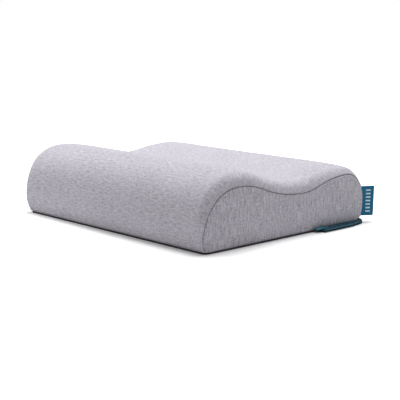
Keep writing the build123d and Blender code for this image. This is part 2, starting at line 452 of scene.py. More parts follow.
@dataclass(frozen=True)
class Section:
    """The two-lobed section, and the lines that follow from it."""

    front_y: float
    rear_y: float
    front_height: float
    half_length: float
    saddle_height: float = 96 * MM
    rear_height: float = 107 * MM
    front_lobe_radius: float = 82 * MM
    rear_lobe_radius: float = 54 * MM
    saddle_y: float = 30 * MM
    front_convex_share: float = 0.39
    rear_convex_share: float = 0.62
    front_lean: float = 6 * MM
    foot_radius: float = 34 * MM
    foot_rise: float = 30 * MM
    foot_share: float = 0.9
    face_roll: float = 10 * MM
    crest_roll: float = 20 * MM
    roll_change: tuple[float, float] = (35 * MM, 95 * MM)
    front_hem_z: float = 3.0 * MM
    rear_hem_z: float = 4.4 * MM
    hem_step_y: tuple[float, float] = (46 * MM, 66 * MM)
    left_crown: float = 9 * MM
    left_lean: float = 11 * MM
    lean_rise: tuple[float, float] = (45 * MM, 115 * MM)
    crown_rise: float = 30 * MM
    crown_reach: float = 60 * MM
    seam: SeamInsets = SeamInsets(4 * MM, 6.5 * MM, 23 * MM, 22 * MM, 13.5 * MM)

    @classmethod
    def of_frame(cls) -> "Section":
        """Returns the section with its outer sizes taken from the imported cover."""
        low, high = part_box("cover_wrap_panel")
        return cls(low.y, high.y, high.z, high.x)

    @staticmethod
    def s_curve(start: tuple[float, float], end: tuple[float, float], share: float) -> list[Arc]:
        """Joins two level points by two tangent arcs.

        Args:
            start: First point.
            end: Last point.
            share: The first arc's share of the two radii.

        Returns:
            The two arcs, from start to end.
        """
        run, rise = end[0] - start[0], end[1] - start[1]
        turn = 2 * math.atan(abs(rise) / run)
        first = share * run / math.sin(turn)
        last = run / math.sin(turn) - first
        side = 1 if rise < 0 else -1
        quarter = side * math.pi / 2
        return [
            Arc((start[0], start[1] - side * first), first, quarter, -side * turn),
            Arc((end[0], end[1] + side * last), last, -quarter - side * turn, side * turn),
        ]

    def line(self, insets: SeamInsets, step: float, below: float = 20 * MM) -> np.ndarray:
        """Traces the section, or the seam inside it, from the front's foot to the rear's.

        Args:
            insets: How far the line lies inside the section.
            step: Distance between its points.
            below: How far it runs on under the base at both ends.

        Returns:
            The points, as rows of Y and Z.
        """
        front, rear = self.front_y + insets.front, self.rear_y - insets.rear
        lobe = self.front_lobe_radius - insets.front
        rear_lobe = self.rear_lobe_radius - insets.rear
        crest = (self.front_y + self.front_lobe_radius, self.front_height - insets.front_drop)
        saddle = (self.saddle_y, self.saddle_height - insets.saddle_drop)
        rear_crest = (self.rear_y - self.rear_lobe_radius, self.rear_height - insets.rear_drop)
        widest, rear_widest = crest[1] - lobe, rear_crest[1] - rear_lobe
        face_radius = (widest**2 + self.front_lean**2) / (2 * self.front_lean)
        face_sweep = math.asin(widest / face_radius)
        foot_top = min(self.foot_rise, self.foot_share * rear_widest)
        foot_sweep = math.asin(foot_top / self.foot_radius)
        quarter = math.pi / 2
        arcs = [
            Arc((front + face_radius, widest), face_radius, math.pi + face_sweep, -face_sweep),
            Arc((crest[0], widest), lobe, math.pi, -quarter),
            *self.s_curve(crest, saddle, self.front_convex_share),
            *self.s_curve(saddle, rear_crest, 1 - self.rear_convex_share),
            Arc((rear_crest[0], rear_widest), rear_lobe, quarter, -quarter),
            Arc((rear - self.foot_radius, foot_top), self.foot_radius, 0, -foot_sweep),
        ]
        pieces = [arc.sample(step) for arc in arcs]
        pieces.insert(0, pieces[0][:1] - (0, below))
        pieces.append(pieces[-1][-1:] - (0, below))
        return resample(np.concatenate(pieces), step)

    def roll(self, height: np.ndarray) -> np.ndarray:
        """Returns the radius that an end is rolled over with, larger over the crests."""
        low, high = self.roll_change
        more = smooth_step((np.asarray(height) - low) / (high - low))
        return self.face_roll + (self.crest_roll - self.face_roll) * more

    def crowned(self, point: Vector) -> Vector:
        """Moves a point out with the left end, which bulges above its foot.

        Args:
            point: A point of the pillow with two flat ends.

        Returns:
            Where the bulging end carries it.
        """
        share = min(max(point.z / self.crown_rise, 0.0), 1.0)
        low, high = self.lean_rise
        bulge = self.left_crown * (1 - (1 - share) ** 2)
        bulge += self.left_lean * float(smooth_step((point.z - low) / (high - low)))
        reach = smooth_step((self.crown_reach - self.half_length - point.x) / self.crown_reach)
        return point - Vector((bulge * float(reach), 0, 0))

    def hem(self, y: np.ndarray) -> np.ndarray:
        """Returns the height of the panels' lower edge at a place along Y."""
        low, high = self.hem_step_y
        rise = self.rear_hem_z - self.front_hem_z
        return self.front_hem_z + rise * smooth_step((y - low) / (high - low))


def distances(points: np.ndarray) -> np.ndarray:
    """Returns how far along a line each of its points is."""
    return np.concatenate(([0], np.cumsum(np.linalg.norm(np.diff(points, axis=0), axis=1))))


def resample(points: np.ndarray, step: float) -> np.ndarray:
    """Spaces a line's points evenly.

    Args:
        points: Rows of coordinates along the line.
        step: The wanted distance between points.

    Returns:
        As many rows as the line's length holds steps.
    """
    gaps = np.linalg.norm(np.diff(points, axis=0), axis=1)
    points = points[np.concatenate(([True], gaps > 1e-9))]
    along = distances(points)
    places = np.linspace(0, along[-1], max(2, round(along[-1] / step)) + 1)
    return np.column_stack([np.interp(places, along, column) for column in points.T])


def outward(points: np.ndarray) -> np.ndarray:
    """Returns the unit normals, away from the pillow, of a line that runs front to rear."""
    tangent = np.gradient(points, axis=0)
    tangent /= np.linalg.norm(tangent, axis=1)[:, None]
    return np.column_stack((-tangent[:, 1], tangent[:, 0]))


# ------------------------------------------------------------------------------ stuffed cover
@dataclass
class Stuffing:
    """The way the tight cover swells between its seams, found by a cloth simulation."""

    voxel: float = 5 * MM
    point_gap: float = 6 * MM
    shrink: float = 1.2 * MM
    pressure: float = 4.0
    stiffness: float = 12.0
    bending: float = 0.8
    vertex_mass: float = 0.3
    quality: int = 4
    frames: int = 20
    cap: float = 3.4 * MM
    pin_reach: float = 4 * MM
    neighbours: int = 8
    softening: float = 0.4 * MM
    places: KDTree | None = field(init=False, default=None)
    moves: list[Vector] = field(init=False, default_factory=list)

    def simulate(self, cover: "Cover") -> None:
        """Swells a remeshed copy under pressure and keeps how far each of its points moved.

        Args:
            cover: The cover, whose end seams hold the cloth down.
        """
        seam = cover.seam_points(self.pin_reach / 2)
        seam = [cover.section.crowned(Vector(row)) for row in (*seam, *(seam * (-1, 1, 1)))]
        blank = bpy.data.materials.new("cloth_simulation_blank")
        body = new_object("stuffed_form", cover.closed_form(self.shrink, self.point_gap), blank)
        remesh = body.modifiers.new("remesh", "REMESH")
        remesh.mode = "VOXEL"
        remesh.voxel_size = self.voxel
        applied = evaluated_mesh(body)
        body.modifiers.clear()
        body.data = applied
        rest = [vert.co.copy() for vert in applied.vertices]
        held_down = tree_of(seam)
        pins = body.vertex_groups.new(name="sewn")
        sewn = [
            index for index, co in enumerate(rest)
            if held_down.find(co)[2] < self.pin_reach or co.z < 2 * self.shrink
        ]
        pins.add(sewn, 1.0, "REPLACE")
        cloth = body.modifiers.new("cloth", "CLOTH")
        rules = cloth.settings
        rules.quality = self.quality
        rules.mass = self.vertex_mass
        rules.tension_stiffness = rules.compression_stiffness = self.stiffness
        rules.bending_stiffness = self.bending
        rules.use_pressure = True
        rules.uniform_pressure_force = self.pressure
        rules.vertex_group_mass = pins.name
        rules.effector_weights.gravity = 0
        cloth.point_cache.frame_start = 1
        cloth.point_cache.frame_end = self.frames
        for frame_number in range(1, self.frames + 1):
            bpy.context.scene.frame_set(frame_number)
        for vert, start in zip(evaluated_mesh(body).vertices, rest):
            move = vert.co - start
            reach = move.length
            self.moves.append(move * (self.cap * math.tanh(reach / self.cap) / max(reach, 1e-9)))
        self.places = tree_of(rest)
        bpy.context.scene.frame_set(1)
        bpy.data.objects.remove(body)
        log.info("cloth simulation: %d points, %d sewn", len(rest), len(sewn))

    def swell(self, point: Vector, normal: Vector) -> float:
        """Tells how far the cover stands off the foam, which it can't sink into.

        Args:
            point: A point of the smooth cover.
            normal: The surface's direction there.

        Returns:
            The swelling along the normal, smoothed over the nearest simulated points.
        """
        if self.places is None:
            return 0.0
        near = self.places.find_n(point, self.neighbours)
        weights = [1 / (distance + self.voxel / 2) for _, _, distance in near]
        total = sum((self.moves[i] * w for (_, i, _), w in zip(near, weights)), Vector())
        outward_move = total.dot(normal) / sum(weights)
        return 0.5 * (outward_move + math.hypot(outward_move, self.softening))


def tree_of(points: Iterable[Vector]) -> KDTree:
    """Makes a search tree.

    Args:
        points: The points to find later.

    Returns:
        The balanced tree, which numbers them in order.
    """
    listed = list(points)
    tree = KDTree(len(listed))
    for index, point in enumerate(listed):
        tree.insert(point, index)
    tree.balance()
    return tree


def evaluated_mesh(piece: Object) -> Mesh:
    """Returns a piece's mesh with its modifiers applied."""
    graph = bpy.context.evaluated_depsgraph_get()
    return bpy.data.meshes.new_from_object(piece.evaluated_get(graph))


@dataclass
class Cover:
    """The visible part of the sewn knit cover: the wrap panel and the two end panels."""

    section: Section
    stuffing: Stuffing
    knit: Material
    end_knit: Material
    cell: float = 4.5 * MM
    cloth: float = 1.2 * MM
    groove_depth: float = 1.5 * MM
    groove_width: float = 1.1 * MM
    ridge: float = 0.5 * MM
    ridge_place: float = 2.4 * MM
    ridge_width: float = 1.7 * MM
    pucker: float = 0.22 * MM
    pucker_pitch: float = 11 * MM
    pucker_reach: float = 6 * MM
    pucker_drift: float = 37.0
    pucker_shift: float = 3 * MM
    wander: float = 0.3 * MM
    wander_scale: float = 26.0
    seam_rows: tuple[float, ...] = (0.08, 0.45, 0.9, 1.5, 2.3, 3.4, 5.2, 8.0)
    wrap_share: float = 0.75
    end_share: float = 0.4
    fine: float = 0.5 * MM
    roll_rows: int = 6
    roll_segments: int = 6
    end_rows: int = 22
    column_gap: float = 5 * MM
    curl: float = 1.1 * MM
    curl_height: float = 1.8 * MM
    held_height: float = 18 * MM
    foot_height: float = 26 * MM
    foot_fade: float = 20 * MM
    seam_search: float = 60 * MM
    edge_line: np.ndarray = field(init=False)
    inward: np.ndarray = field(init=False)
    depth: np.ndarray = field(init=False)
    rolls: np.ndarray = field(init=False)
    seam_line: np.ndarray = field(init=False)
    fine_line: np.ndarray = field(init=False)

    def __post_init__(self) -> None:
        """Pairs each point of the section with its point on the end seam."""
        whole = self.section.line(SeamInsets(), 1 * MM)
        self.fine_line = whole
        middle = len(whole) // 2
        keep = whole[:, 1] > np.where(
            np.arange(len(whole)) < middle, self.section.front_hem_z, self.section.rear_hem_z
        )
        self.edge_line = resample(whole[keep], self.cell)
        normal = outward(self.edge_line)
        low = smooth_step((self.edge_line[:, 1] - self.section.rear_hem_z) / self.foot_fade)
        normal[:, 1] *= np.where(self.edge_line[:, 1] < self.foot_height, low, 1)
        normal /= np.linalg.norm(normal, axis=1)[:, None]
        self.inward = -normal
        self.depth = self.seam_depths(self.section.line(self.section.seam, 1 * MM))
        self.rolls = self.section.roll(self.edge_line[:, 1])
        self.seam_line = self.edge_line + self.inward * self.depth[:, None]

    def seam_depths(self, seam: np.ndarray) -> np.ndarray:
        """Measures how far the end seam lies inward of each point of the section.

        Args:
            seam: The seam's line, as rows of Y and Z.

        Returns:
            One distance for each point of the section.
        """
        depths = []
        for point, way in zip(self.edge_line, self.inward):
            offset = seam - point
            aside = offset @ np.array((-way[1], way[0]))
            ahead = offset @ way
            crossed = aside[:-1] * aside[1:] <= 0
            within = (ahead[:-1] > 0) & (ahead[:-1] < self.seam_search)
            found = []
            for k in np.nonzero(crossed & within)[0]:
                share = aside[k] / (aside[k] - aside[k + 1] or 1e-12)
                found.append(ahead[k] + share * (ahead[k + 1] - ahead[k]))
            depths.append(min(found))
        return np.array(depths)

    def roll_x(self, points: np.ndarray, inset: float = 0.0) -> np.ndarray:
        """Tells how far out along X the end's surface is.

        Args:
            points: Places in the Y-Z plane, as rows of Y and Z.
            inset: How far the surface lies inside the cover's outer face.

        Returns:
            One X for each place.
        """
        gaps = np.linalg.norm(points[:, None, :] - self.fine_line[None], axis=2)
        nearest = gaps.argmin(axis=1)
        roll = self.section.roll(self.fine_line[nearest, 1]) - inset
        gap = np.maximum(gaps[np.arange(len(points)), nearest] - inset, 0)
        short = np.maximum(roll - gap, 0)
        return self.section.half_length - inset - roll + np.sqrt(roll**2 - short**2)

    def closed_form(self, inset: float, step: float) -> bmesh.types.BMesh:
        """Makes the whole pillow as one closed body, for what the cover is filled with.

        Args:
            inset: How far it lies inside the cover's outer face.
            step: Distance between the section's points.

        Returns:
            The body, with its ends rolled over and its base flat.
        """
        line = self.section.line(SeamInsets(), step, below=0)
        line = line - inset * outward(line)
        line[:, 1] = np.maximum(line[:, 1], inset)
        bm = bmesh.new()
        half = self.section.half_length - inset
        rim = [bm.verts.new((-half, y, z)) for y, z in line]
        end = bm.faces.new(rim)
        swept = bmesh.ops.extrude_face_region(bm, geom=[end])["geom"]
        moved = [v for v in swept if isinstance(v, bmesh.types.BMVert)]
        bmesh.ops.translate(bm, verts=moved, vec=(2 * half, 0, 0))
        bmesh.ops.recalc_face_normals(bm, faces=bm.faces)
        bm.faces.ensure_lookup_table()
        ends = [face for face in bm.faces if abs(face.normal.x) > 0.9]
        edges = dict.fromkeys(edge for face in ends for edge in face.edges)
        rolled = [edge for edge in edges if edge.calc_length() < 0.5 * self.section.rear_y]
        roll = self.section.face_roll - inset
        bmesh.ops.bevel(
            bm, geom=rolled, offset=roll, affect="EDGES", segments=self.roll_segments, profile=0.5,
            material=-1,
        )
        ends = [face for face in bm.faces if abs(face.normal.x) > 0.99]
        bmesh.ops.inset_region(bm, faces=ends, thickness=self.section.crest_roll - inset - roll)
        wide = [vert for vert in bm.verts if abs(vert.co.x) > half - 1.01 * roll]
        flat = np.array([(vert.co.y, vert.co.z) for vert in wide])
        for vert, out in zip(wide, self.roll_x(flat, inset)):
            vert.co.x = math.copysign(out, vert.co.x)
        for vert in bm.verts:
            vert.co = self.section.crowned(vert.co)
        return bm

    def arc_of(self, depth: np.ndarray) -> np.ndarray:
        """Returns the ways over the rolled edge that reach one depth for each section point."""
        turned = np.arccos(np.clip((self.rolls - depth) / self.rolls, 0, 1))
        return self.rolls * turned + np.maximum(depth - self.rolls, 0)

    def depth_of(self, ways: np.ndarray) -> np.ndarray:
        """Returns the depths that rows of ways over the rolled edge reach."""
        roll = self.rolls[:, None]
        turn = np.minimum(ways / roll, math.pi / 2)
        return roll * (1 - np.cos(turn)) + np.maximum(ways - roll * math.pi / 2, 0)

    def wrap_columns(self) -> tuple[np.ndarray, np.ndarray]:
        """Lays out the wrap panel's end columns, from the straight part to the seam.

        Returns:
            For each point of the section, the ways over the roll; and the distances that are
            left from there to the seam.
        """
        total = self.arc_of(self.depth)
        rows = np.array(self.seam_rows[::-1]) * MM
        scale = np.minimum(1, self.wrap_share * total / rows[0])
        near = rows[None, :] * scale[:, None]
        far_end = total[:, None] - near[:, :1]
        shares = np.linspace(0, 1, self.roll_rows + 1)[None, 1:-1]
        ways = np.concatenate((far_end * shares, total[:, None] - near), axis=1)
        return ways, total[:, None] - ways

    def groove(self, distance: float, along: float) -> float:
        """Gives the seam's relief: a narrow groove, a soft ridge beside it, and puckers.

        Args:
            distance: Distance from the seam.
            along: Place along the seam.

        Returns:
            Height above the smooth surface.
        """
        cut = self.groove_depth * math.exp(-((distance / self.groove_width) ** 2))
        ridge = self.ridge * math.exp(-(((distance - self.ridge_place) / self.ridge_width) ** 2))
        phase = 2 * math.pi * along / self.pucker_pitch + 2 * math.sin(along * self.pucker_drift)
        pucker = self.pucker * math.cos(phase) * math.exp(-distance / self.pucker_reach)
        return ridge - cut + pucker

    def finish_panel(
        self, name: str, bm: bmesh.types.BMesh, knit: Material, relief: Callable[[Vector], float]
    ) -> Object:
        """Moves a panel's points as the stuffing, the seam and the hem move them.

        Args:
            name: The piece's name.
            bm: The smooth panel.
            knit: Its finish.
            relief: Gives the seam's relief at a point of the smooth panel.

        Returns:
            The finished piece.
        """
        targets = []
        for vert in bm.verts:
            smooth = vert.co.copy()
            above = smooth.z - float(self.section.hem(smooth.y))
            tucked = self.curl * max(0.0, 1 - above / self.curl_height) ** 2
            wander = self.wander * noise.noise(smooth * self.wander_scale)
            held = smooth_step(above / self.held_height)
            height = relief(smooth) - tucked
            smooth = self.section.crowned(smooth)
            height += held * (wander + self.stuffing.swell(smooth, vert.normal))
            targets.append(smooth + vert.normal * height)
        for vert, target in zip(bm.verts, targets):
            vert.co = target
        bm.normal_update()
        return new_object(name, bm, knit, self.cloth)

    def wrap_panel(self) -> Object:
        """Makes the panel over the front, the top and the rear.

        Returns:
            The finished piece.
        """
        ways, to_seam = self.wrap_columns()
        straight = self.section.half_length - self.rolls
        middle = np.linspace(-1, 1, round(2 * self.section.half_length / self.column_gap) + 1)
        end_count = ways.shape[1]
        last = 2 * end_count + len(middle) - 1
        depths = self.depth_of(ways)
        flat = self.edge_line[:, None, :] + self.inward[:, None, :] * depths[:, :, None]
        outs = self.roll_x(flat.reshape(-1, 2)).reshape(depths.shape)
        lengths = np.arange(len(self.edge_line)) * self.cell

        def place(i: int, j: int) -> Corner:
            """Gives a corner's point and UV from its column and its row."""
            if end_count <= i <= last - end_count:
                x = middle[i - end_count] * straight[j]
                return Vector((x, *self.edge_line[j])), (x, lengths[j])
            side = 1 if i > end_count else -1
            k = i - (last - end_count) - 1 if side > 0 else end_count - 1 - i
            point = Vector((side * outs[j, k], *flat[j, k]))
            return point, (side * (straight[j] + ways[j, k]), lengths[j])

        def relief(point: Vector) -> float:
            """Gives the relief of the nearest end seam."""
            if abs(point.x) < self.section.half_length - self.section.crest_roll:
                return 0.0
            _, index, gap = rim.find(Vector((abs(point.x), point.y, point.z)))
            if gap > 0.1 * MM:
                return 0.0
            row, column = divmod(index, end_count)
            return self.groove(float(to_seam[row, column]), float(lengths[row]))

        rim = tree_of(
            Vector((outs[row, column], *flat[row, column]))
            for row in range(len(lengths)) for column in range(end_count)
        )
        bm = cloth_grid(last, len(self.edge_line) - 1, place)
        return self.finish_panel("cover_wrap_cloth", bm, self.knit, relief)

    def end_panel(self, name: str, side: int) -> Object:
        """Makes a flat end panel, sewn in along its upper edge.

        Args:
            name: The piece's name.
            side: -1 for the left end, 1 for the right end.

        Returns:
            The finished piece.
        """
        top = self.seam_line
        lengths = distances(top)
        foot_y = top[0, 0] + (top[-1, 0] - top[0, 0]) * lengths / lengths[-1]
        foot = np.column_stack((foot_y, self.section.hem(foot_y)))
        near = np.array(self.seam_rows) * MM
        height = np.linalg.norm(foot - top, axis=1)
        scale = np.minimum(1, self.end_share * height / near[-1])
        lead = near[None, :] * scale[:, None]
        rest = np.linspace(0, 1, self.end_rows + 1)[None, 1:]
        below = lead[:, -1:] + (height[:, None] - lead[:, -1:]) * rest
        drops = np.concatenate((lead, below), axis=1)
        ways = drops / np.maximum(height[:, None], 1e-9)
        flat = top[:, None, :] + (foot - top)[:, None, :] * ways[:, :, None]
        outs = self.roll_x(flat.reshape(-1, 2)).reshape(ways.shape)
        fine = resample(top, self.fine)
        seam_points = tree_of(Vector((0, *point)) for point in fine)
        seam_step = lengths[-1] / (len(fine) - 1)

        def place(i: int, j: int) -> Corner:
            """Gives a corner's point and UV from its place along the seam and below it."""
            y, z = flat[i, j]
            return Vector((side * outs[i, j], y, z)), (y, z)

        def relief(point: Vector) -> float:
            """Gives the relief beside the seam."""
            _, index, gap = seam_points.find(Vector((0, point.y, point.z)))
            return self.groove(gap, index * seam_step + self.pucker_shift)

        bm = cloth_grid(len(top) - 1, ways.shape[1] - 1, place, Vector((side, 0, 0)))
        return self.finish_panel(name, bm, self.end_knit, relief)

    def seam_points(self, step: float, sunk: float = 0.0) -> np.ndarray:
        """Returns points along the right end seam, sunk in from it, as rows of X, Y and Z."""
        line = resample(self.seam_line, step)
        return np.column_stack((self.roll_x(line) - sunk, line))


# ---------------------------------------------------------------------------------- zip
@dataclass(frozen=True)
class PlanPath:
    """A level line round the rear: up the right side, along the rear, down the left side."""

    reach_x: float
    reach_y: float
    radius: float
    start_y: float

    @property
    def side_run(self) -> float:
        """Length of the straight run on each side."""
        return self.reach_y - self.radius - self.start_y

    @property
    def length(self) -> float:
        """Whole length of the line."""
        return 2 * self.side_run + math.pi * self.radius + 2 * (self.reach_x - self.radius)

    def at(self, way: float, offset: float = 0.0, z: float = 0.0) -> Vector:
        """Gives a point beside the line.

        Args:
            way: Distance from its start.
            offset: Distance outwards from the line.
            z: Height.

        Returns:
            The point.
        """
        half = self.length / 2
        side = 1 if way <= half else -1
        way = min(way, self.length - way)
        corner_x, corner_y = self.reach_x - self.radius, self.reach_y - self.radius
        turn = (way - self.side_run) / self.radius
        if turn <= 0:
            x, y = self.reach_x + offset, self.start_y + way
        elif turn < math.pi / 2:
            x = corner_x + (self.radius + offset) * math.cos(turn)
            y = corner_y + (self.radius + offset) * math.sin(turn)
        else:
            x = corner_x - (way - self.side_run - self.radius * math.pi / 2)
            y = self.reach_y + offset
        return Vector((side * x, y, z))

    def turned(self, way: float, z: float, offset: float = 0.0) -> Matrix:
        """Gives the place of a small part beside the line.

        Args:
            way: Distance from the line's start.
            z: Height.
            offset: Distance outwards from the line.

        Returns:
            The matrix that puts its X outwards and its Y along the line.
        """
        here = self.at(way, offset, z)
        after = self.at(min(way + 0.1 * MM, self.length), offset, z)
        ahead = (after - self.at(max(way - 0.1 * MM, 0), offset, z)).normalized()
        return turned_to(here, ahead, Vector((0, 0, 1)))


def repeat_shape(shape: Mesh, places: Iterable[Matrix]) -> bmesh.types.BMesh:
    """Copies a small shape to many places.

    Args:
        shape: The shape, which is removed.
        places: Where each copy goes.

    Returns:
        All copies as one mesh.
    """
    bm = bmesh.new()
    for place in places:
        before = len(bm.verts)
        bm.from_mesh(shape)
        bm.verts.ensure_lookup_table()
        bmesh.ops.transform(bm, matrix=place, verts=bm.verts[before:])
    bpy.data.meshes.remove(shape)
    return bm


def bead(length: float, width: float, height: float, sides: int = 6, rings: int = 4) -> Mesh:
    """Makes a small rounded grain with its length along Y, for a stitch or a zip tooth.

    Args:
        length: Size along Y.
        width: Size along X.
        height: Size along Z.
        sides: Number of faces round it.
        rings: Number of faces along it.

    Returns:
        The closed shape, about the origin.
    """
    bm = bmesh.new()
    bmesh.ops.create_uvsphere(bm, u_segments=sides, v_segments=rings, radius=0.5)
    bmesh.ops.rotate(bm, verts=bm.verts, matrix=Matrix.Rotation(math.pi / 2, 3, "X"))
    bmesh.ops.scale(bm, verts=bm.verts, vec=(width, length, height))
    shape = bpy.data.meshes.new("bead")
    bm.to_mesh(shape)
    bm.free()
    return shape


@dataclass
class Zip:
    """The closed coil zip: two tapes, two rows of teeth and the stitches that hold them."""

    tape: Material
    nylon: Material
    thread: Material
    corner: float = 35 * MM
    slider_travel: float = 78 * MM
    tooth_pitch: float = 1.5 * MM
    tooth_share: float = 0.62
    tooth_overlap: float = 0.35 * MM
    open_gap: float = 0.55 * MM
    tape_width: float = 8 * MM
    tucked: float = 0.4 * MM
    tape_rows: int = 8
    tape_cell: float = 3 * MM
    cord: float = 0.25 * MM
    ripple: float = 0.12 * MM
    ripple_pitch: float = 9 * MM
    drawn_in: float = 5 * MM
    drawn_from: float = 70 * MM
    stitch_pitch: float = 3 * MM
    stitch_share: float = 0.86
    stitch_lift: float = 0.05 * MM
    stitch_edge: float = 1.5 * MM
    hem_sunk: float = 0.15 * MM
    hem_corner: float = 11 * MM
    path: PlanPath = field(init=False)
    half_width: float = field(init=False)
    tape_z: tuple[float, float] = field(init=False)
    coil_z: tuple[float, float] = field(init=False)

    def __post_init__(self) -> None:
        """Takes the chain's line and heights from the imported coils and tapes."""
        low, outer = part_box("zip_coil_outer")
        tape_low, tape_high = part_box("zip_tape_outer")
        slider_low, slider_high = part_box("zip_slider")
        self.half_width = outer.x - slider_low.x / 2 - slider_high.x / 2
        chain_x = outer.x - self.half_width
        chain_y = outer.y - self.half_width
        self.path = PlanPath(chain_x, chain_y, self.corner, tape_low.y)
        self.tape_z = (tape_low.z, tape_high.z)
        self.coil_z = (low.z, outer.z)

    def spread(self, way: float) -> float:
        """Gives a tape's width, which is drawn in where the chain goes round the rear."""
        past = min(way, self.path.length - way) - self.drawn_from
        return self.tape_width - self.drawn_in * float(smooth_step(past / self.path.radius))

    def tape_strip(self, name: str, side: int) -> Object:
        """Makes a woven tape with a corded edge beside the teeth.

        Args:
            name: The piece's name.
            side: -1 for the inner tape, 1 for the outer one.

        Returns:
            The finished piece.
        """
        count = round(self.path.length / self.tape_cell)
        step = self.path.length / count

        def place(i: int, j: int) -> Corner:
            """Gives a corner's point and UV from its place along and across the tape."""
            width = self.spread(i * step) if side > 0 else self.tape_width
            across = j / self.tape_rows
            offset = self.half_width - self.tucked + width * across
            cord = self.cord if j == 1 else 0.0
            ripple = self.ripple * math.sin(i * step / self.ripple_pitch * math.pi) * across**2
            point = self.path.at(i * step, side * offset, self.tape_z[1] + cord + ripple)
            return point, (i * step, offset)

        bm = cloth_grid(count, self.tape_rows, place, Vector((0, 0, 1)))
        return new_object(name, bm, self.tape, self.tape_z[1] - self.tape_z[0])

    def teeth(self, name: str, side: int) -> Object:
        """Makes one row of coil teeth, with a channel open as far as the slider travels.

        Args:
            name: The piece's name.
            side: -1 for the row on the inner tape, 1 for the outer one.

        Returns:
            The finished piece.
        """
        slider_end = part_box("zip_slider")[1].y + self.slider_travel
        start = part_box("zip_coil_inner")[0].y - self.path.start_y
        run = self.path.length - 2 * start
        count = round(run / self.tooth_pitch)
        height = self.coil_z[1] - self.coil_z[0]
        middle_z = sum(self.coil_z) / 2
        places = []
        for k in range(count):
            way = start + (k + 0.25 + (0.5 if side > 0 else 0)) * run / count
            open_run = self.path.at(way).y < slider_end and way < self.path.length / 2
            head = self.open_gap if open_run else -self.tooth_overlap
            stretch = Matrix.Diagonal((self.half_width - head, 1, 1, 1))
            middle = side * (self.half_width + head) / 2
            places.append(self.path.turned(way, middle_z, middle) @ stretch)
        tooth = bead(self.tooth_share * self.tooth_pitch, 1.0, height, sides=8, rings=6)
        return new_object(name, repeat_shape(tooth, places), self.nylon)

    def stitch_row(
        self, name: str, path: PlanPath, offset: Callable[[float], float], z: float
    ) -> Object:
        """Makes a row of lockstitches along a line round the rear.

        Args:
            name: The piece's name.
            path: The line it follows.
            offset: Gives the distance outwards from that line for a way along it.
            z: Height of the stitches' middle.

        Returns:
            The finished piece.
        """
        count = int(path.length / self.stitch_pitch)
        ways = [(k + 0.5) * path.length / count for k in range(count)]
        places = [path.turned(way, z, offset(way)) for way in ways]
        shape = bead(self.stitch_share * self.stitch_pitch, 0.55 * MM, 0.5 * MM)
        return new_object(name, repeat_shape(shape, places), self.thread)

    def lower_stitches(self) -> Object:
        """Makes the row near the outer tape's edge."""
        edge = self.half_width - self.stitch_edge
        return self.stitch_row(
            "zip_stitches_outer", self.path, lambda way: edge + self.spread(way),
            self.tape_z[1] + self.stitch_lift,
        )

    def upper_stitches(self) -> Object:
        """Makes the row that holds the inner tape under the hem."""
        low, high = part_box("zip_seam_thread_upper")
        path = PlanPath(high.x - self.hem_sunk, high.y - self.hem_sunk, self.hem_corner, low.y)
        return self.stitch_row("zip_stitches_hem", path, lambda way: 0.0, (low.z + high.z) / 2)


def end_seam_stitches(name: str, cover: Cover, side: int, thread: Material) -> Object:
    """Makes the stitch line at the bottom of an end seam's groove.

    Args:
        name: The piece's name.
        cover: The cover whose seam it holds.
        side: -1 for the left end, 1 for the right end.
        thread: Its finish.

    Returns:
        The finished piece.
    """
    pitch, thickness, sunk = 3.2 * MM, 0.6 * MM, 0.9 * MM
    line = cover.seam_points(pitch, sunk)
    places = []
    for before, here, after in zip(line[:-2], line[1:-1], line[2:]):
        ahead = Vector(after - before).normalized()
        places.append(turned_to(Vector(here), ahead, Vector((1, 0, 0))))
    bm = repeat_shape(bead(0.9 * pitch, thickness, thickness), places)
    if side < 0:
        bmesh.ops.scale(bm, verts=bm.verts, vec=(-1, 1, 1))
        bmesh.ops.reverse_faces(bm, faces=bm.faces)
        for vert in bm.verts:
            vert.co = cover.section.crowned(vert.co)
    return new_object(name, bm, thread)


# ------------------------------------------------------------------------------ base, label
@dataclass
class BasePanel:
    """The flat underside of the cover, with the margin that carries the outer tape."""

    knit: Material
    front_corner: float = 12 * MM
    margin_corner: float = 40.5 * MM
    drawn_in: float = 6.5 * MM
    waist_front_y: float = 58 * MM
    waist_rear_y: float = 72 * MM
    cell: float = 6 * MM

    def half_width(self, y: float, half_length: float, low: Vector, high: Vector) -> float:
        """Gives the panel's half width at a place along Y.

        Args:
            y: The place.
            half_length: Half of the pillow's length, where there is no margin.
            low: The panel's lowest corner.
            high: Its highest corner.

        Returns:
            The distance from the middle to its edge.
        """
        for edge, radius, past in (
            (half_length, self.front_corner, low.y + self.front_corner - y),
            (high.x, self.margin_corner, y - high.y + self.margin_corner),
        ):
            if past > 0:
                return edge - radius + math.sqrt(max(radius**2 - past**2, 0))
        share = (y - self.waist_front_y) / (self.waist_rear_y - self.waist_front_y)
        return half_length + (high.x - half_length) * float(np.clip(share, 0, 1))

    def build(self, half_length: float) -> Object:
        """Makes the panel as a sheet of knit with rounded edges.

        Args:
            half_length: Half of the pillow's length.

        Returns:
            The finished piece.
        """
        low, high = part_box("cover_base_panel")
        high -= self.drawn_in * Vector((1, 1, 0))
        rows = round((high.y - low.y) / self.cell)
        across = round(2 * high.x / self.cell)

        def place(i: int, j: int) -> Corner:
            """Gives a corner's point and UV, with the rows crowded towards both ends."""
            y = low.y + (high.y - low.y) * (0.5 - 0.5 * math.cos(math.pi * j / rows))
            x = self.half_width(y, half_length, low, high) * (2 * i / across - 1)
            return Vector((x, y, low.z)), (x, y)

        bm = cloth_grid(across, rows, place, Vector((0, 0, -1)))
        return new_object("cover_base_cloth", bm, self.knit, high.z - low.z)


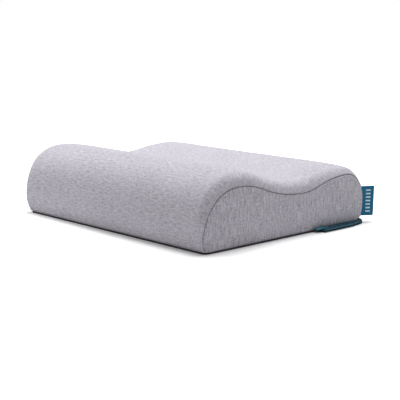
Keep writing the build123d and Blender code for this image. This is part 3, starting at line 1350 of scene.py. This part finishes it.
@dataclass
class EdgeRoll:
    """The turned seam allowance between the base panel and the other panels, a thin roll in
    near-black painted shade.
    """

    knit: Material
    radius: float = 1.4 * MM
    flattened: float = 0.98
    uneven: float = 0.08
    uneven_run: float = 5 * MM
    sunk: float = 1.6 * MM
    corner: float = 10 * MM
    rear_y: float = 74 * MM
    cell: float = 4 * MM
    sides: int = 10

    def build(self, section: Section) -> Object:
        """Makes the roll along the front and both ends.

        Args:
            section: The pillow's section.

        Returns:
            The finished piece.
        """
        front = section.front_y + section.front_lean
        path = PlanPath(
            section.half_length - self.sunk, -front - self.sunk, self.corner, -self.rear_y
        )
        count = round(path.length / self.cell)

        def place(i: int, j: int) -> Corner:
            """Gives a corner's point and UV from its place along and round the roll."""
            angle = 2 * math.pi * j / self.sides
            way = path.length * i / count
            radius = self.radius * (1 + self.uneven * math.sin(way / self.uneven_run))
            height = self.radius * (1 + self.flattened * math.sin(angle))
            point = path.at(way, radius * math.cos(angle), height)
            return Vector((point.x, -point.y, point.z)), (way, self.radius * angle)

        bm = cloth_grid(count, self.sides, place)
        bmesh.ops.remove_doubles(bm, verts=bm.verts, dist=0.01 * MM)
        bmesh.ops.holes_fill(bm, edges=[edge for edge in bm.edges if edge.is_boundary])
        bmesh.ops.recalc_face_normals(bm, faces=bm.faces)
        return new_object("base_edge_roll_painted_shade", bm, self.knit)


@dataclass
class Label:
    """A folded woven label sewn into the rear seam, with a plain woven ladder and no lettering."""

    satin: Material
    motif: Material
    ply: float = 0.45 * MM
    fold: float = 0.55 * MM
    reach: float = 24 * MM
    hidden: float = 6 * MM
    angle: float = math.radians(60)
    sway: float = 1.4 * MM
    sway_turn: float = 2.2
    taper: float = 0.08
    slack: float = 0.35 * MM
    bars: int = 7
    bar_pitch: float = 6.6 * MM
    bar_length: float = 9.5 * MM
    bar_width: float = 2.8 * MM
    bar_lift: float = 0.08 * MM
    bar_ply: float = 0.2 * MM
    root: Vector = field(init=False)
    out: Vector = field(init=False)
    side: Vector = field(init=False)
    foot: float = field(init=False)
    height: float = field(init=False)

    def __post_init__(self) -> None:
        """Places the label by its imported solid: its root, its way out, its face and its foot."""
        low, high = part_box("woven_label")
        self.out = Vector((math.cos(self.angle), math.sin(self.angle), 0))
        self.side = Vector((math.sin(self.angle), -math.cos(self.angle), 0))
        tip = Vector((high.x, high.y, 0)) - self.slack * Vector((1, 1, 0))
        self.root = tip - self.out * (self.reach + self.hidden)
        self.foot, self.height = low.z, high.z - low.z

    def point(self, way: float, up: float, face: int, lift: float = 0.0) -> Vector:
        """Gives a point of the label.

        Args:
            way: Distance out from its root.
            up: Height above its foot.
            face: 1 for the face to the right, -1 for the other one.
            lift: Distance off the face.

        Returns:
            The point.
        """
        way *= 1 - self.taper * (1 - up / self.height)
        share = max(0.0, way / (self.reach + self.hidden))
        bend = self.sway * share**2 * math.cos(up / self.height * self.sway_turn)
        aside = face * (self.fold + lift) + bend
        return self.root + self.out * way + self.side * aside + Vector((0, 0, self.foot + up))

    def build(self) -> list[Object]:
        """Makes the label.

        Returns:
            The folded ribbon, and its woven ladder.
        """
        total = self.reach + self.hidden
        straight = total - self.fold
        leg, turn, rows = 14, 6, 16
        count = 2 * leg + turn

        def place(i: int, j: int) -> Corner:
            """Gives a corner's point and UV from its place along the fold and its height."""
            up = self.height * j / rows
            if i <= leg:
                way = straight * i / leg
                return self.point(way, up, 1), (way, up)
            if i >= leg + turn:
                way = straight * (count - i) / leg
                return self.point(way, up, -1), (2 * total - way, up)
            angle = math.pi * (i - leg) / turn
            way = straight + self.fold * math.sin(angle)
            near = self.point(way, up, 1)
            far = self.point(way, up, -1)
            return near.lerp(far, (1 - math.cos(angle)) / 2), (straight + self.fold * angle, up)

        bm = cloth_grid(count, rows, place)
        root = self.point(0, self.height / 2, 1)
        first = min(bm.faces, key=lambda face: (face.calc_center_median() - root).length)
        if first.normal.dot(self.side) < 0:
            bmesh.ops.reverse_faces(bm, faces=bm.faces)
        return [new_object("label_ribbon", bm, self.satin, self.ply), self.ladder()]

    def ladder(self) -> Object:
        """Makes the column of short woven bars on both faces of the label.

        Returns:
            The finished piece.
        """
        foot = (self.height - (self.bars - 1) * self.bar_pitch) / 2
        half_way = self.hidden + 0.5 * self.reach
        bm = bmesh.new()
        for face in (-1, 1):
            for k in range(self.bars):
                corners = bmesh.ops.create_grid(bm, x_segments=4, y_segments=2, size=0.5)["verts"]
                for vert in corners:
                    way = half_way + vert.co.x * self.bar_length
                    up = foot + k * self.bar_pitch + vert.co.y * self.bar_width
                    vert.co = self.point(way, up, face, self.bar_lift)
        bm.normal_update()
        middle = self.point(half_way, self.height / 2, 0)
        wrong = [
            face for face in bm.faces
            if face.normal.dot(self.side) * (face.calc_center_median() - middle).dot(self.side) < 0
        ]
        bmesh.ops.reverse_faces(bm, faces=wrong)
        write_uvs(bm, lambda vert: (vert.co.x + vert.co.y, vert.co.z))
        return new_object("label_ladder", bm, self.motif, self.bar_ply)


# ------------------------------------------------------------------------------------- studio
@dataclass(frozen=True)
class Studio:
    """A pale floor, soft lamps and the camera."""

    camera_place: tuple[float, float, float] = (1.475, -1.356, 0.402)
    camera_turn: tuple[float, float, float] = (79.54, 0.0, 47.0)
    lens: float = 96.03
    sky: float = 0.325
    # The floor's camera-ray gain, low near shadow_place: painted shade round the pillow.
    floor_gain: tuple[float, float] = (0.24, 1.0)
    painted_shade_reach: tuple[float, float] = (0.2, 0.6)
    shadow_place: tuple[float, float, float] = (0.16, 0.0, 0.0)
    floor_half: float = 1.8
    lamps: tuple[tuple[str, tuple[float, float, float], float, float], ...] = (
        ("key", (-0.25, 0.6, 2.3), 1.5, 64.0),
        ("front_fill", (-1.1, -0.7, 0.4), 0.8, 4.2),
    )

    def floor(self) -> Object:
        """Makes the floor, which the camera sees as white away from the pillow and which keeps its
        shadow; round the pillow a lower gain paints shade that deepens that shadow.

        Returns:
            The finished floor.
        """
        bm = bmesh.new()
        bmesh.ops.create_grid(bm, x_segments=1, y_segments=1, size=self.floor_half)
        material = bpy.data.materials.new("matt_white_sweep")
        material.use_nodes = True
        tree = material.node_tree
        tree.nodes.remove(tree.nodes["Principled BSDF"])
        eye = add(tree, "LightPath").outputs["Is Camera Ray"]
        paper = add(tree, "BsdfDiffuse", {"Color": (0.8, 0.8, 0.8, 1)})
        place = add(tree, "TexCoord").outputs["Object"]
        # Painted shade: the camera-ray gain drops towards shadow_place, so the floor round the
        # pillow is darker.
        away = add(tree, "VectorMath", {1: self.shadow_place}, {0: place}, operation="DISTANCE")
        limits = (*self.painted_shade_reach, *self.floor_gain)
        values = dict(zip(("From Min", "From Max", "To Min", "To Max"), limits))
        rising = add(tree, "MapRange", values, {"Value": away.outputs["Value"]})
        gain = add(tree, "Math", links={0: eye, 1: rising.outputs[0]}, operation="MULTIPLY")
        grey = {channel: gain.outputs[0] for channel in ("Red", "Green", "Blue")}
        tint = add(tree, "CombineColor", links=grey)
        extra = add(tree, "BsdfDiffuse", links={"Color": tint.outputs[0]})
        both = add(tree, "AddShader", links={0: paper.outputs[0], 1: extra.outputs[0]})
        tree.links.new(both.outputs[0], tree.nodes["Material Output"].inputs["Surface"])
        return new_object("floor", bm, material)

    def world(self) -> None:
        """Lights the scene evenly and shows white behind it."""
        world = bpy.data.worlds.new("studio")
        bpy.context.scene.world = world
        world.use_nodes = True
        tree = world.node_tree
        path = add(tree, "LightPath").outputs
        rays = {0: path["Is Camera Ray"], 1: path["Is Glossy Ray"]}
        seen = add(tree, "Math", links=rays, operation="MAXIMUM").outputs[0]
        level = add(tree, "MapRange", {"To Min": self.sky, "To Max": 1.0}, {"Value": seen})
        tree.links.new(level.outputs[0], tree.nodes["Background"].inputs["Strength"])
        tree.nodes["Background"].inputs["Color"].default_value = (1, 1, 1, 1)

    def lamp(self, name: str, place: tuple[float, float, float], size: float, power: float) -> None:
        """Adds a square soft lamp that faces the pillow.

        Args:
            name: Its name.
            place: Where it hangs.
            size: Its side.
            power: Its power in watts.
        """
        data = bpy.data.lights.new(name, "AREA")
        data.size = size
        data.energy = power
        lamp = bpy.data.objects.new(name, data)
        lamp.location = place
        lamp.rotation_euler = Vector(place).to_track_quat("Z", "Y").to_euler()
        bpy.context.scene.collection.objects.link(lamp)

    def camera(self) -> None:
        """Adds the camera."""
        data = bpy.data.cameras.new("camera")
        data.lens = self.lens
        camera = bpy.data.objects.new("camera", data)
        camera.location = self.camera_place
        camera.rotation_euler = [math.radians(angle) for angle in self.camera_turn]
        bpy.context.scene.collection.objects.link(camera)
        bpy.context.scene.camera = camera

    def build(self) -> None:
        """Builds the whole studio."""
        self.camera()
        self.floor()
        self.world()
        for lamp in self.lamps:
            self.lamp(*lamp)
        bpy.context.scene.view_settings.view_transform = "Standard"


# ---------------------------------------------------------------------------------- assembly
def settle(piece: Object, slot: str, *nodes: str, padded: bool = False) -> None:
    """Ties a sewn piece to the pillow and hides the nodes that it stands for.

    Args:
        piece: The finished piece.
        slot: The record's material slot; not used.
        nodes: CAD nodes that it replaces.
        padded: Whether it lies tight over the foam, or is the foam; not used.
    """
    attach(piece, "pillow")
    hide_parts(*nodes)
    log.info("%s rides on pillow, replaces %s", piece.name, ", ".join(nodes) or "nothing")


def dress(node: str, material: Material) -> None:
    """Gives a carried-over CAD node its finish.

    Args:
        node: Its name.
        material: The finish, in place of the record's plain one.
    """
    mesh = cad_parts[node].data
    mesh.materials.clear()
    mesh.materials.append(material)
    log.info("%s keeps its CAD shape in %s", node, material.name)


# Each finish by what it covers: its name, its colours, then its sizes and its roughness.
FINISHES: dict[str, HeatherKnit | WovenNarrow | GrainedSolid] = {
    "wrap": HeatherKnit(),
    # The end panels' wales stand upright, so the eye sees longer and stronger streaks there.
    "end": HeatherKnit(
        "heather_jersey_end", pale="DAD6DF", deep="878390",
        streak_length=22 * MM, streak_width=2.0 * MM, streaks_along_v=True,
    ),
    # Nearly black as painted shade for the shadow gap along the base, the same knit hardly shows
    # its streaks.
    "base": HeatherKnit("base_jersey_painted_shade", "2B2930", "3A3840", "1F1D24"),
    "tape": WovenNarrow("woven_polyester_zip_tape", "012F3D", "05586D", Weave.RIBBED_TAPE),
    # Satin floats are finer than tape ribs and shine a little more.
    "satin": WovenNarrow("woven_satin_label", "004E69", "0676A0", Weave.SATIN, 0.5 * MM, 0.5),
    "motif": WovenNarrow("woven_satin_pale", "B4E4F2", "E2F7FC", Weave.SATIN, 0.5 * MM, 0.5),
    # Spun thread is matt, with hairs and twist that break up its shine.
    "thread": GrainedSolid(
        "spun_polyester_thread", "2C2A32", "413E48", 0.4 * MM, 0.08 * MM, 0.75
    ),
    "teal_thread": GrainedSolid(
        "spun_polyester_thread_teal", "1E6478", "2F8096", 0.4 * MM, 0.08 * MM, 0.7
    ),
    # Drawn nylon is smooth enough for each tooth to show its own glint.
    "nylon": GrainedSolid(
        "drawn_nylon_monofilament", "042A38", "083B4C", 0.6 * MM, 0.02 * MM, 0.35
    ),
    "stops": GrainedSolid("moulded_nylon_stop", "0A3A4C", "114C61", 0.8 * MM, 0.02 * MM, 0.35),
    # Stoved enamel is glossy over the faint waves of the casting.
    "enamel": GrainedSolid(
        "enamelled_zinc_casting", "0A4052", "115264", 2.5 * MM, 0.02 * MM, 0.32, coat=0.4
    ),
    # Soft plastic keeps the fine spark texture of its mould and a dull shine.
    "plastic": GrainedSolid("moulded_soft_plastic", "1A6A80", "257C93", 1.2 * MM, 0.03 * MM, 0.45),
    # Moulded foam is cream and dull, with small open pores whose insides are painted darker as
    # shade.
    "foam": GrainedSolid(
        "moulded_memory_foam", "E9DFC4", "F6EFDC", 1.6 * MM, 0.3 * MM, 0.92, pores=True
    ),
    # Fine white jersey is even and matt.
    "liner": GrainedSolid("fine_liner_jersey", "E3E2E0", "F2F1EF", 0.9 * MM, 0.12 * MM, 0.85),
}


def main() -> None:
    """Builds the pillow, dresses it and sets up the studio."""
    logging.basicConfig(level=logging.INFO, format="%(name)s: %(message)s")
    Studio().build()
    finish = {name: recipe.build() for name, recipe in FINISHES.items()}
    section = Section.of_frame()
    cover = Cover(section, Stuffing(), finish["wrap"], finish["end"])
    cover.stuffing.simulate(cover)
    settle(cover.wrap_panel(), "grey_knit", "cover_wrap_panel", padded=True)
    for side, name in ((-1, "left"), (1, "right")):
        panel = cover.end_panel(f"cover_end_cloth_{name}", side)
        settle(panel, "grey_knit", f"cover_end_panel_{name}", padded=True)
        stitches = end_seam_stitches(f"end_seam_stitches_{name}", cover, side, finish["thread"])
        settle(stitches, "grey_thread", f"end_seam_thread_{name}")
    # The base panel and its edge roll are near-black painted shade for the shadow gap under the
    # lower edge.
    base = BasePanel(finish["base"]).build(section.half_length)
    settle(base, "base_knit", "cover_base_panel", padded=True)
    settle(EdgeRoll(finish["base"]).build(section), "base_knit")

    gap, ply, step = 2.4 * MM, 0.5 * MM, 5 * MM
    core = new_object("foam_block", cover.closed_form(gap + 0.8 * MM, step), finish["foam"])
    settle(core, "memory_foam", "foam_core", padded=True)
    bag = new_object("liner_bag", cover.closed_form(gap, step), finish["liner"], ply)
    settle(bag, "liner_jersey", "liner_tube", "liner_end_left", "liner_end_right", padded=True)

    fastener = Zip(finish["tape"], finish["nylon"], finish["teal_thread"])
    for side, name in ((-1, "inner"), (1, "outer")):
        tape = fastener.tape_strip(f"zip_tape_{name}_woven", side)
        settle(tape, "zip_tape", f"zip_tape_{name}")
        settle(fastener.teeth(f"zip_teeth_{name}", side), "zip_coil", f"zip_coil_{name}")
    settle(fastener.lower_stitches(), "teal_thread", "zip_seam_thread_lower")
    settle(fastener.upper_stitches(), "teal_thread", "zip_seam_thread_upper")
    dress("zip_slider", finish["enamel"])
    dress("zip_pull_tab", finish["plastic"])
    dress("zip_top_stops", finish["stops"])
    dress("zip_bottom_stop", finish["stops"])

    ribbon, ladder = Label(finish["satin"], finish["motif"]).build()
    settle(ribbon, "label_satin", "woven_label")
    settle(ladder, "label_satin")


if __name__ == "__main__":
    main()
